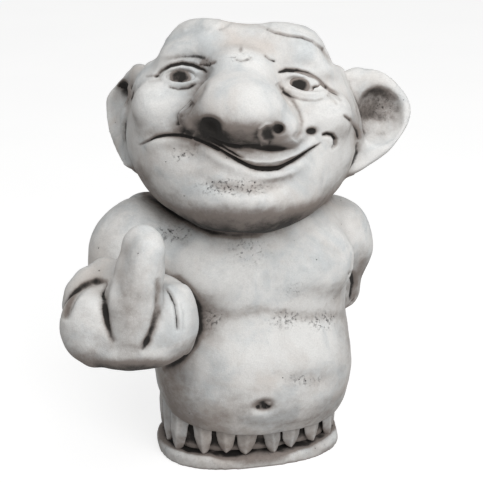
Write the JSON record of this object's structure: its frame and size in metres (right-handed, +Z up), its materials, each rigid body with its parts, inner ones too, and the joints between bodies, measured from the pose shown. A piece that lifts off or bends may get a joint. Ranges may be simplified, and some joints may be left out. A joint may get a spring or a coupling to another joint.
{
  "type": "garden troll figure",
  "caption": "Squat long-nosed garden troll of cast stone with big ears, a leaf skirt and one finger raised on the right hand, standing on a low oval plinth.",
  "frame": {"origin": "middle of the plinth's underside, on the ground", "axes": "+Z up, the figure faces -Y, its own right hand is at -X and its own left hand is at +X"},
  "size_m": [0.2003, 0.157, 0.2603],
  "materials": {
    "cast_stone": "weathered pale grey cast stone with dark creases and air-bubble pores",
    "steel": "plain drawn steel, sealed inside the stone"
  },
  "bodies": {
    "root": {"plinth": "cast_stone", "hips": "cast_stone", "leaves": "cast_stone", "torso": "cast_stone", "head": "cast_stone", "hair": "cast_stone", "nose": "cast_stone", "right_ear": "cast_stone", "left_ear": "cast_stone", "right_eyeball": "cast_stone", "left_eyeball": "cast_stone", "right_eyelids": "cast_stone", "left_eyelids": "cast_stone", "upper_lip": "cast_stone", "lower_lip": "cast_stone", "right_upper_arm": "cast_stone", "right_forearm": "cast_stone", "palm": "cast_stone", "thumb": "cast_stone", "index_finger": "cast_stone", "middle_finger": "cast_stone", "ring_finger": "cast_stone", "little_finger": "cast_stone", "left_upper_arm": "cast_stone", "left_forearm": "cast_stone", "left_hand": "cast_stone", "spine_rod": "steel", "arm_wire": "steel", "right_ear_pin": "steel", "left_ear_pin": "steel"}
  },
  "joints": []
}
